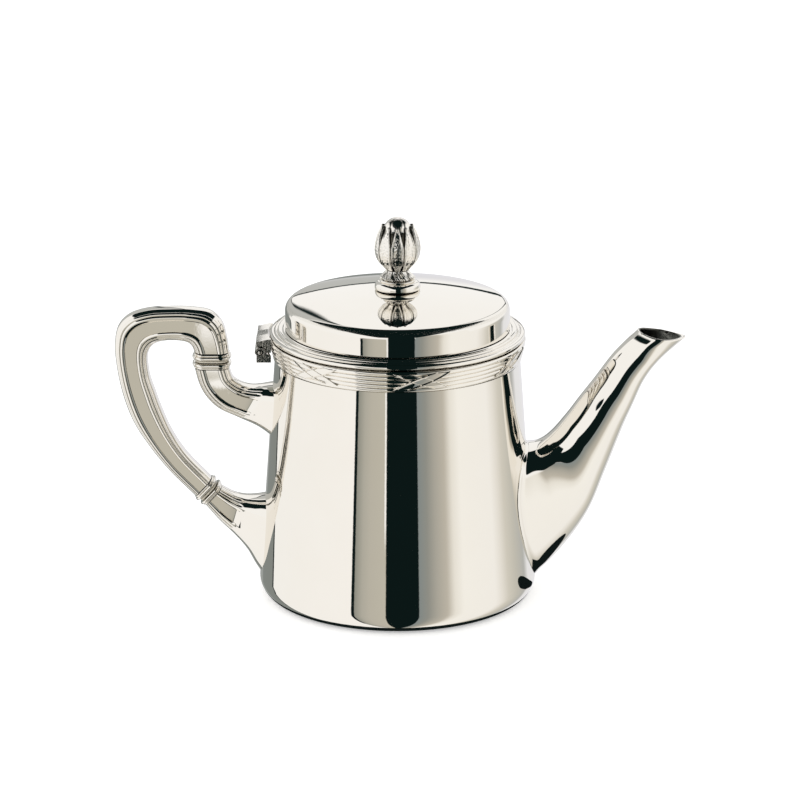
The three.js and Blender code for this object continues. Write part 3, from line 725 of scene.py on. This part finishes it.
def hug(verts, radius):
    """Pulls points back so that none lies inside a cylinder round the pot's axis."""
    out = []
    for x, y, z in verts:
        limit = -math.sqrt(max(0.0, radius * radius - y * y))
        out.append((min(x, limit), y, z))
    return out


def ease_edges(obj, width):
    mod = obj.modifiers.new("eased_edges", "BEVEL")
    mod.width = width * MM
    mod.segments = 3
    mod.limit_method = "ANGLE"
    mod.angle_limit = math.radians(38)
    mod.harden_normals = False


def pin_circle(radius, count, start=0.0, turn=TAU):
    """The (x, z) points of an arc round the hinge's axis."""
    angles = [start + turn * i / count for i in range(count)]
    return [(HINGE_X + radius * math.cos(a), HINGE_Z + radius * math.sin(a)) for a in angles]


def build_hinge_body_leaf():
    """A block whose top curls round the pin, cut away for the lid's knuckle."""
    leaf = [(HINGE_REAR, LEAF_Z), (HINGE_FRONT, LEAF_Z), (HINGE_FRONT, 102.6), (-52.0, 103.2)]
    leaf += pin_circle(KNUCKLE_R, 24, math.radians(-16), math.radians(212))
    leaf += [(HINGE_REAR, HINGE_Z - 1.0)]
    parts = []
    for side in (-1, 1):
        low, high = sorted((side * HINGE_HALF, side * (KNUCKLE_HALF + GAP)))
        v, f = slab(leaf, low, high, 8)
        parts.append((hug(v, LEAF_BORE), f))
    foot_top = LEAF_Z + 1.3
    foot = [(HINGE_REAR, LEAF_Z), (HINGE_FRONT, LEAF_Z), (HINGE_FRONT, foot_top), (HINGE_REAR, foot_top)]
    v, f = slab(foot, -4.6, 4.6, 8)
    parts.append((hug(v, LEAF_BORE), f))
    obj = finish_mesh("hinge_body_knuckles", merged(*parts), SATIN, "pot", ["hinge_body_leaf"], 40)
    ease_edges(obj, 0.15)


def build_hinge_lid_leaf():
    """A plate hollowed underneath round the knuckles, a web and one knuckle."""
    plate = [(HINGE_FRONT, HINGE_Z), (HINGE_FRONT, 109.3), (-51.6, 109.3), (HINGE_REAR, 108.2)]
    for i in range(17):
        a = 2.12 * (1 - i / 16)
        plate.append((HINGE_X + 2.65 * math.cos(a), HINGE_Z + 2.65 * math.sin(a)))
    v, f = slab(plate, -HINGE_HALF, HINGE_HALF, 16)
    web = [(HINGE_REAR, HINGE_Z), (-52.7, HINGE_Z), (-52.7, 107.0), (HINGE_REAR, 107.0)]
    knuckle = pin_circle(KNUCKLE_R, 40)
    shape = merged(
        (hug(v, LEAF_BORE), f),
        slab(web, -KNUCKLE_HALF, KNUCKLE_HALF),
        slab(knuckle, -KNUCKLE_HALF, KNUCKLE_HALF),
    )
    obj = finish_mesh("hinge_lid_plate", shape, SATIN, "lid", ["hinge_lid_leaf"], 40)
    ease_edges(obj, 0.15)


def build_hinge_pin():
    """The pin, its ends peened to a low dome; a black ring round each end is painted shade in the seam.
    """
    end = [(0.3, 0.15), (0.28, 0.45), (0.2, 0.7), (0.05, 0.84), (-0.3, 0.9)]
    runs = [(-HINGE_HALF - out, r) for out, r in end] + [(HINGE_HALF + out, r) for out, r in end[::-1]]
    rows = [[(x, y, z) for x, z in pin_circle(r, 48)] for y, r in runs]
    pin = grid(rows, capped=True)
    finish_mesh("hinge_pin_peened", pin, FIXING, "pot", ["hinge_pin"], 40)
    # black rings round the pin's ends: painted shade in the seam
    parts = []
    for side in (-1, 1):
        rows = []
        for r, y in ((0.86, 11.9), (0.86, 12.06), (1.3, 12.06), (1.3, 11.9)):
            rows.append([(x, side * y, z) for x, z in pin_circle(r, 48)])
        parts.append(grid(rows, closed_rows=True))
    finish_mesh("hinge_pin_seam_shade", merged(*parts), SEAM_SHADE, "pot", ["hinge_pin"], 40)


# ---- lid ------------------------------------------------------------------------------------------
LID_EDGE_R = LID_R - LID_FILLET * (1 - math.sin(LID_EDGE_SLOPE))
LID_EDGE_Z = LID_SHOULDER - LID_FILLET * (1 - math.cos(LID_EDGE_SLOPE))
DOME_R = LID_EDGE_R / math.sin(LID_EDGE_SLOPE)
DOME_CENTRE_Z = LID_EDGE_Z - DOME_R * math.cos(LID_EDGE_SLOPE)


def dome(r):
    """Height of the lid's top, a shallow sphere that runs into the rounded shoulder."""
    return DOME_CENTRE_Z + math.sqrt(DOME_R**2 - r**2)


def build_lid_rim():
    """An edge bead with a flat top, then two finer reeds that step up and in towards the wall."""
    outline = [(RIM_BORE, RIM_Z)]
    for i in range(17):
        a = math.radians(-90 + 155 * i / 16)
        outline.append((RIM_R - 0.95 + 0.95 * math.cos(a), RIM_Z + 0.98 + 0.98 * math.sin(a)))
    outline += [(50.3, RIM_Z + 1.96), (49.9, RIM_Z + 2.04), (49.45, RIM_Z + 2.1)]
    for r, z, radius in ((48.65, 109.75, 0.72), (47.35, 110.25, 0.68)):
        for i in range(13):
            a = math.radians(-8 + 108 * i / 12)
            outline.append((r + radius * math.cos(a), z + radius * math.sin(a)))
    outline += [(46.4, 110.45), (46.0, 110.5), (45.6, 111.0), (RIM_BORE, 111.0)]
    finish_mesh("lid_rim_moulded", lathe(outline, 288), REEDED, "lid", ["lid_rim"], 50)


def build_lid_bezel():
    inner = BEZEL_R - BEZEL_T
    corners = [(inner, BEZEL_Z, 0.3), (BEZEL_R, BEZEL_Z, 0.3)]
    corners += [(BEZEL_R, BEZEL_TOP, 0.1), (inner, BEZEL_TOP, 0.1)]
    finish_mesh("lid_bezel_skirt", lathe(rounded(corners, 1.5), 192), INSIDE, "lid", ["lid_bezel"], 50)


def build_lid_cap():
    outside, inside = [], []
    edge = LID_R - LID_FILLET
    for z in np.linspace(LID_FOOT, LID_SHOULDER - LID_FILLET, 7)[:-1]:
        outside.append((LID_R, z))
        inside.append((LID_R - LID_T, z))
    for i in range(17):
        a = (math.pi / 2 - LID_EDGE_SLOPE) * i / 16
        c, s = math.cos(a), math.sin(a)
        outside.append((edge + LID_FILLET * c, LID_SHOULDER - LID_FILLET + LID_FILLET * s))
        inside.append((outside[-1][0] - LID_T * c, outside[-1][1] - LID_T * s))
    for r in np.linspace(LID_EDGE_R, 1.8, 28)[1:]:
        outside.append((r, dome(r)))
        inside.append((r, dome(r) - LID_T))
    obj = finish_mesh("lid_cap_domed", lathe(outside + inside[::-1], 256), MIRROR, "lid", ["lid_cap"], 50)
    obj.data.materials.append(INSIDE)
    for poly in obj.data.polygons:
        c = poly.center
        r, z = math.hypot(c.x, c.y) / MM, c.z / MM
        if r < LID_R - 0.6 and z < min(dome(min(r, LID_EDGE_R)) - 0.6, LID_SHOULDER + LID_R - r - 2.0):
            poly.material_index = 1


# ---- finial ---------------------------------------------------------------------------------------
# the chased pieces' painted shade, one value a point, 1 darkest
def set_recess(obj, values):
    layer = obj.data.attributes.new("recess_shade", "FLOAT", "POINT")
    layer.data.foreach_set("value", np.asarray(values, np.float32))


FOOT_Z = DOME_CENTRE_Z + DOME_R + GAP
STUD_BORE = 1.67
NECK_Z, NECK_LOW_R, NECK_TOP_R = 131.6, 6.7, 4.6
BUD_Z = 135.2
LOBES = 10
BUD = [  # outline over the petals, from the neck to their tips
    (4.6, BUD_Z),
    (5.9, 136.7),
    (7.3, 138.2),
    (8.4, 140.2),
    (8.95, 142.6),
    (9.0, 145.0),
    (8.6, 147.4),
    (7.9, 149.8),
    (6.9, 151.8),
    (6.1, 153.3),
]
BUD_CURVE = spline(BUD, 200)


def bud_at(t):
    x = clamp(t) * 199
    k = min(int(x), 198)
    return BUD_CURVE[k] + (BUD_CURVE[k + 1] - BUD_CURVE[k]) * (x - k)


def petal(angle, lift, seed):
    """A long petal: a raised smooth rim round a sunk middle with fine chased strokes."""
    rng = np.random.default_rng(seed)
    across, along = 29, 73
    rows, recess_shade = [], []
    for j in range(along):
        t = j / (along - 1)
        r0, z0 = bud_at(t)
        taper = min(1.0, (1 - t) / 0.42) ** 0.7
        width = math.pi / LOBES * (0.66 + 0.30 * smoothstep(t / 0.3)) * taper + 0.03
        tip = smoothstep((t - 0.88) / 0.12)
        front, back, marks = [], [], []
        for i in range(across):
            u = 2 * i / (across - 1) - 1
            a = angle + u * width
            bulge = 0.6 * (1 - u * u) ** 0.5 * (1 - 0.5 * tip)
            rim = math.exp(-(((abs(u) - 0.76) / 0.15) ** 2))
            rim = max(rim, smoothstep((t - 0.90) / 0.08))
            fold = smoothstep((abs(u) - 0.84) / 0.16)
            strokes = math.sin(2 * math.pi * (15 * t + 0.9 * abs(u) + 0.1 * seed))
            inner = (1 - rim) * smoothstep(t / 0.1) * (1 - smoothstep((t - 0.86) / 0.1))
            cut = inner * (0.035 * strokes + 0.035 * rng.standard_normal())
            r = r0 - 0.5 + lift + bulge + 0.22 * rim - 0.25 * inner + cut - 1.0 * fold + 0.4 * tip
            front.append((r * math.cos(a), r * math.sin(a), z0))
            b = r0 - 1.9 + lift + 0.7 * tip
            back.append((b * math.cos(a), b * math.sin(a), z0))
            # painted shade: darker in the sunk strokes and in the folds between petals
            shade = -3.0 * cut + 1.7 * fold
            marks.append(clamp(shade))
        rows.append(front + back[::-1])
        # painted shade: the petals' backs are fully dark
        recess_shade.append(marks + [1.0] * across)
    verts, faces = grid(rows, capped=True)
    return verts, faces, [x for row in recess_shade for x in row] + [0.9, 0.1]


def build_finial_foot():
    foot = [
        (STUD_BORE, FOOT_Z),
        (4.5, FOOT_Z - 0.05),
        (8.5, FOOT_Z - 0.22),
        (8.9, FOOT_Z - 0.12),
        (9.1, FOOT_Z + 0.12),
        (9.14, FOOT_Z + 0.5),
        (9.1, FOOT_Z + 1.1),
        (8.98, FOOT_Z + 1.7),
        (8.8, FOOT_Z + 2.15),
        (8.5, FOOT_Z + 2.5),
        (8.05, FOOT_Z + 2.8),
        (7.55, FOOT_Z + 2.98),
        (7.2, FOOT_Z + 3.05),
    ]
    # a fine bead under the leaves
    for i in range(9):
        a = math.pi * (i / 8 - 0.5)
        foot.append((6.95 + 0.38 * math.cos(a), FOOT_Z + 3.5 + 0.38 * math.sin(a)))
    foot += [(6.3, FOOT_Z + 3.94), (STUD_BORE, FOOT_Z + 3.94)]
    finish_mesh("finial_foot_turned", lathe(foot, 128), MIRROR, "lid", ["finial_foot"], 45)


def build_finial_calyx():
    """The leafy neck: leaves that turn out at their tips over the foot."""
    rows, marks = [], []
    cols = 288
    for j in range(41):
        t = j / 40
        row = []
        for c in range(cols):
            a = TAU * c / cols
            lobe = abs(math.cos(3 * a + 0.4 * math.sin(4 * t) + 0.3))
            vein = math.sin(30 * a + 8 * t) * math.sin(11 * a + 5 * t)
            base = NECK_LOW_R + (NECK_TOP_R - NECK_LOW_R) * smoothstep(t * 1.02)
            base += 0.3 * math.sin(math.pi * t)
            depth = 1.1 * (1 - 0.7 * t) * (1 - lobe**0.6)
            curl = 0.45 * math.exp(-(((t - 0.14) / 0.1) ** 2)) * lobe
            r = base - depth + curl + 0.22 * vein * (1 - 0.6 * t)
            z = NECK_Z + (BUD_Z - GAP - NECK_Z) * t
            row.append((r * math.cos(a), r * math.sin(a), z))
            # painted shade: darker between the leaves and along their veins
            marks.append(clamp(0.9 - 1.3 * lobe - 0.5 * vein))
        rows.append(row)
    leaves = grid(rows, capped=True)
    obj = finish_mesh("finial_calyx_leaves", leaves, CHASED, "lid", ["finial_calyx"], 60)
    set_recess(obj, marks + [0.5, 0.5])


HEART_TIP = [
    (5.35, 153.0),
    (4.85, 154.0),
    (4.1, 154.9),
    (3.1, 155.6),
    (1.9, 156.1),
    (0.8, 156.35),
    (0.1, 156.4),
]


def heart():
    """The bud's closed inner petals, which show between and over the ten outer ones."""
    outline = [(0.3, BUD_Z)]
    outline += [(bud_at(t)[0] - 1.3, bud_at(t)[1]) for t in np.linspace(0, 0.9, 36)]
    rows, recess_shade = [], []
    for r, z in outline + HEART_TIP:
        groove = 0.35 * smoothstep((z - 151) / 2) * smoothstep(r / 3)
        row = []
        for c in range(160):
            a = TAU * c / 160
            ridge = abs(math.sin(2.5 * (a - math.pi / 2)))
            rr = r - groove * (1 - ridge**0.35)
            row.append((rr * math.cos(a), rr * math.sin(a), z))
            # painted shade: dark under the petals and in the heart's grooves
            recess_shade.append(1.0 if z < 151.5 else clamp(1.0 - 4 * ridge))
        rows.append(row)
    verts, faces = grid(rows, capped=True)
    return verts, faces, recess_shade + [1.0, 0.0]


def build_finial_bud():
    v, f, recess_shade = heart()
    parts = [(v, f)]
    for k in range(LOBES):
        v, f, m = petal(TAU * (k + 0.5) / LOBES, 0.1 if k % 2 else 0.0, k)
        parts.append((v, f))
        recess_shade += m
    bud = merged(*parts)
    obj = finish_mesh("finial_bud_petals", bud, CHASED, "lid", ["finial_bud"], 60)
    if len(obj.data.vertices) != len(recess_shade):
        raise RuntimeError("the bud's points and its recess values no longer match")
    set_recess(obj, recess_shade)


def dress_fixings():
    for name in ("finial_stud", "finial_washer", "finial_nut"):
        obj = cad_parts[name]
        obj.data.materials.clear()
        obj.data.materials.append(FIXING)


# ---- studio ---------------------------------------------------------------------------------------
SCREEN_R = 0.6
SCREENS = [  # degrees round from the camera, and how bright the studio is there
    (-180, (0.75, 0.75, 0.78)),
    (-172, (0.62, 0.63, 0.64)),
    (-160, (0.36, 0.38, 0.37)),
    (-143, (0.33, 0.35, 0.34)),
    (-138, (0.33, 0.35, 0.34)),
    (-137, (0.97, 0.97, 0.96)),
    (-36.5, (1.0, 0.99, 0.98)),
    (-35, (0.27, 0.28, 0.25)),
    (-28, (0.46, 0.45, 0.40)),
    (-22, (0.52, 0.50, 0.44)),
    (-9, (0.55, 0.53, 0.46)),
    (16, (0.24, 0.28, 0.29)),
    (24, (0.30, 0.31, 0.29)),
    (31, (0.43, 0.42, 0.38)),
    (40, (0.55, 0.52, 0.46)),
    (46, (0.86, 0.84, 0.79)),
    (54, (0.98, 0.97, 0.94)),
    (85, (0.96, 0.95, 0.93)),
    (93, (0.84, 0.82, 0.78)),
    (101, (0.68, 0.66, 0.60)),
    (112, (0.58, 0.57, 0.52)),
    (127, (0.48, 0.49, 0.48)),
    (135, (0.84, 0.85, 0.88)),
    (170, (0.84, 0.84, 0.88)),
    (180, (0.75, 0.75, 0.79)),
]


def for_the_silver_only(mesh, mat, lift=0.0):
    """Stands a piece of the studio or a painted shadow in place so that it shows in reflections and
    nowhere else.
    """
    mesh.materials.append(mat)
    obj = bpy.data.objects.new(mesh.name, mesh)
    bpy.context.scene.collection.objects.link(obj)
    obj.location = (0, 0, lift)
    obj.visible_camera = False
    obj.visible_diffuse = False
    obj.visible_shadow = False
    obj.visible_transmission = False


def build_screen():
    """A near, curved studio screen: its bands are the reflections in the silver."""
    mat = bpy.data.materials.new("studio_screen")
    mat.use_nodes = True
    nodes, links = mat.node_tree.nodes, mat.node_tree.links
    nodes.clear()
    out = nodes.new("ShaderNodeOutputMaterial")
    glow = nodes.new("ShaderNodeEmission")
    links.new(glow.outputs["Emission"], out.inputs["Surface"])
    coords = nodes.new("ShaderNodeTexCoord")
    split = nodes.new("ShaderNodeSeparateXYZ")
    links.new(coords.outputs["Object"], split.inputs["Vector"])

    def sums(kind, *args):
        node = nodes.new("ShaderNodeMath")
        node.operation = kind
        for i, arg in enumerate(args):
            if isinstance(arg, (int, float)):
                node.inputs[i].default_value = arg
            else:
                links.new(arg, node.inputs[i])
        return node.outputs["Value"]

    def edge(value, at, soft):
        node = nodes.new("ShaderNodeMapRange")
        node.interpolation_type = "SMOOTHSTEP"
        node.inputs["From Min"].default_value = at - soft
        node.inputs["From Max"].default_value = at + soft
        links.new(value, node.inputs["Value"])
        return node.outputs["Result"]

    def between(value, low, high, soft):
        falling = sums("SUBTRACT", 1.0, edge(value, high, soft))
        return sums("MULTIPLY", edge(value, low, soft), falling)

    def both(*masks):
        value = masks[0]
        for mask in masks[1:]:
            value = sums("MULTIPLY", value, mask)
        return value

    x, y, z = (split.outputs[axis] for axis in ("X", "Y", "Z"))
    front = sums("MULTIPLY", y, -1.0)
    azimuth = sums("MULTIPLY", sums("ARCTAN2", x, front), 180 / math.pi)  # 0 faces the camera
    height = sums("DIVIDE", z, SCREEN_R)
    elevation = sums("MULTIPLY", sums("ARCSINE", height), 180 / math.pi)

    def paint(under, mask, rgb):
        node = nodes.new("ShaderNodeMix")
        node.data_type = "RGBA"
        links.new(mask, node.inputs["Factor"])
        links.new(under, node.inputs["A"])
        if isinstance(rgb, tuple):
            node.inputs["B"].default_value = (*rgb, 1)
        else:
            links.new(rgb, node.inputs["B"])
        return node.outputs["Result"]

    # screens round the pot at the height of the table, from far left to far right
    turn = nodes.new("ShaderNodeMapRange")
    turn.inputs["From Min"].default_value = -180
    turn.inputs["From Max"].default_value = 180
    links.new(azimuth, turn.inputs["Value"])
    round_pot = nodes.new("ShaderNodeValToRGB")
    links.new(turn.outputs["Result"], round_pot.inputs["Fac"])
    stops = round_pot.color_ramp.elements
    for k, (degrees, rgb) in enumerate(SCREENS):
        stop = stops[k] if k < 2 else stops.new(1.0)
        stop.position = (degrees + 180) / 360
        stop.color = (*rgb, 1)
    black = (0.004, 0.010, 0.010)
    white = (1.0, 1.0, 1.0)
    behind = edge(y, 0.05, 0.03)
    sky = nodes.new("ShaderNodeRGB")
    sky.outputs[0].default_value = (1, 1, 1, 1)
    colour = sky.outputs[0]
    colour = paint(colour, sums("SUBTRACT", 1.0, edge(elevation, 8, 4)), round_pot.outputs["Color"])
    # the two front panels and the gap between them, where the camera stands, differ in height
    facing = between(azimuth, -60, 75, 1)
    colour = paint(colour, both(facing, between(elevation, 2, 40, 0.5)), white)
    right_panel = both(between(azimuth, 17, 75, 1), between(elevation, -60, 30, 4))
    colour = paint(colour, right_panel, round_pot.outputs["Color"])
    left_frame = both(between(azimuth, -36.6, -34.1, 0.3), between(elevation, -60, -5, 0.5))
    colour = paint(colour, left_frame, black)
    bright_edge = both(between(azimuth, -10.6, -9, 0.3), between(elevation, -13.5, 1.2, 1))
    colour = paint(colour, bright_edge, white)
    gap = both(between(azimuth, -9.2, 16.8, 0.4), between(elevation, -95, 40, 1))
    colour = paint(colour, gap, black)
    # the far left card leans over and has a black edge; greys reach higher beyond it
    under_top = sums("SUBTRACT", 1.0, edge(elevation, 1.2, 0.4))
    slant = sums("MULTIPLY", sums("MAXIMUM", elevation, -24), 1.6)
    leaning = sums("ADD", azimuth, sums("ADD", slant, 26.4))
    colour = paint(colour, both(between(leaning, -160, -130.2, 0.4), under_top), (0.24, 0.26, 0.25))
    colour = paint(colour, both(between(leaning, -131.4, -129, 0.4), under_top), black)
    far_left = both(between(azimuth, -181, -131, 1), between(elevation, 2, 44, 4))
    colour = paint(colour, far_left, (0.52, 0.53, 0.52))
    # a white card with a thin dark edge stands behind
    card = sums("ADD", edge(azimuth, 160, 0.6), sums("SUBTRACT", 1.0, edge(azimuth, -166, 0.6)))
    edging = sums("ADD", edge(azimuth, 157.5, 0.6), sums("SUBTRACT", 1.0, edge(azimuth, -164.5, 0.6)))
    edging_foot = sums("MULTIPLY_ADD", edge(x, 0.05, 0.1), -1.3, 12.4)
    dark_line = both(behind, edging, edge(sums("SUBTRACT", elevation, edging_foot), 0, 0.3))
    colour = paint(colour, dark_line, (0.01, 0.02, 0.02))
    colour = paint(colour, both(behind, card, edge(elevation, 13.6, 0.3)), white)
    # the dark ceiling, from over the camera to past the zenith
    ahead = edge(sums("DIVIDE", front, z), -0.72, 0.03)
    sides = between(sums("DIVIDE", x, z), -0.92, 0.92, 0.04)
    colour = paint(colour, both(edge(height, 0.33, 0.01), ahead, sides), black)
    links.new(colour, glow.inputs["Color"])
    mat.cycles.emission_sampling = "NONE"

    bm = bmesh.new()
    bmesh.ops.create_uvsphere(bm, u_segments=96, v_segments=48, radius=SCREEN_R)
    mesh = bpy.data.meshes.new("studio_screen")
    bm.to_mesh(mesh)
    bm.free()
    for_the_silver_only(mesh, mat, 0.08)


def build_shade():
    """Black cards just under the floor, seen only in reflections: painted shadow of the table right under
    the pot and under the spout's foot.
    """
    mat = mottled("contact_shade", 1.0, 40.0, (0.003, 0.006, 0.006), (0.006, 0.010, 0.010))
    shader = mat.node_tree.nodes["Principled BSDF"]
    shader.inputs["Specular IOR Level"].default_value = 0.0
    turns = [TAU * i / 64 for i in range(64)]
    # painted shadow: black ovals under the pot and under the spout's foot
    for name, x, y, half_x, half_y in (("pot_shade", 0, 0, 54.6, 54.6), ("spout_shade", 76, 1, 17, 8.5)):
        ring = [(x + half_x * math.cos(a), y + half_y * math.sin(a), -0.3) for a in turns]
        mesh = bpy.data.meshes.new(name)
        mesh.from_pydata([tuple(c * MM for c in p) for p in ring], [], [tuple(range(64))])
        for_the_silver_only(mesh, mat)


def build_world():
    world = bpy.data.worlds.new("studio")
    bpy.context.scene.world = world
    world.use_nodes = True
    background = world.node_tree.nodes["Background"]
    background.inputs["Color"].default_value = (0.93, 0.93, 0.93, 1)
    background.inputs["Strength"].default_value = 1.0


def build_floor():
    mat = mottled("pale_floor", 0.85, 3.0, (0.93, 0.93, 0.93), (0.95, 0.95, 0.95))
    shader = mat.node_tree.nodes["Principled BSDF"]
    shader.inputs["Emission Color"].default_value = (1, 1, 1, 1)
    shader.inputs["Emission Strength"].default_value = 0.4
    mesh = bpy.data.meshes.new("floor")
    s = 12.0
    mesh.from_pydata([(-s, -s, 0), (s, -s, 0), (s, s, 0), (-s, s, 0)], [], [(0, 1, 2, 3)])
    mesh.materials.append(mat)
    floor = bpy.data.objects.new("floor", mesh)
    bpy.context.scene.collection.objects.link(floor)
    floor.visible_glossy = False


def build_camera():
    """A long lens, 17 degrees above the table on the pot's right-hand side."""
    data = bpy.data.cameras.new("camera")
    data.sensor_width = 36.0
    data.lens = 187.2
    data.clip_start, data.clip_end = 0.05, 60.0
    cam = bpy.data.objects.new("camera", data)
    bpy.context.scene.collection.objects.link(cam)
    cam.location = (0.0, -1.6, 0.574)
    target = np.array([0.001, 0.0, 0.08045])
    ahead = target - np.array(cam.location)
    pitch = math.atan2(math.hypot(ahead[0], ahead[1]), -ahead[2])
    cam.rotation_euler = (pitch, 0, math.atan2(-ahead[0], ahead[1]))
    bpy.context.scene.camera = cam


build_camera()
build_body()
build_base_plate()
build_mouth_ring()
build_band()
build_spout()
build_handle()
build_collars()
build_hinge_body_leaf()
build_hinge_lid_leaf()
build_hinge_pin()
build_lid_rim()
build_lid_bezel()
build_lid_cap()
build_finial_foot()
build_finial_calyx()
build_finial_bud()
dress_fixings()
build_floor()
build_screen()
build_shade()
build_world()
bpy.context.scene.view_settings.view_transform = "Standard"
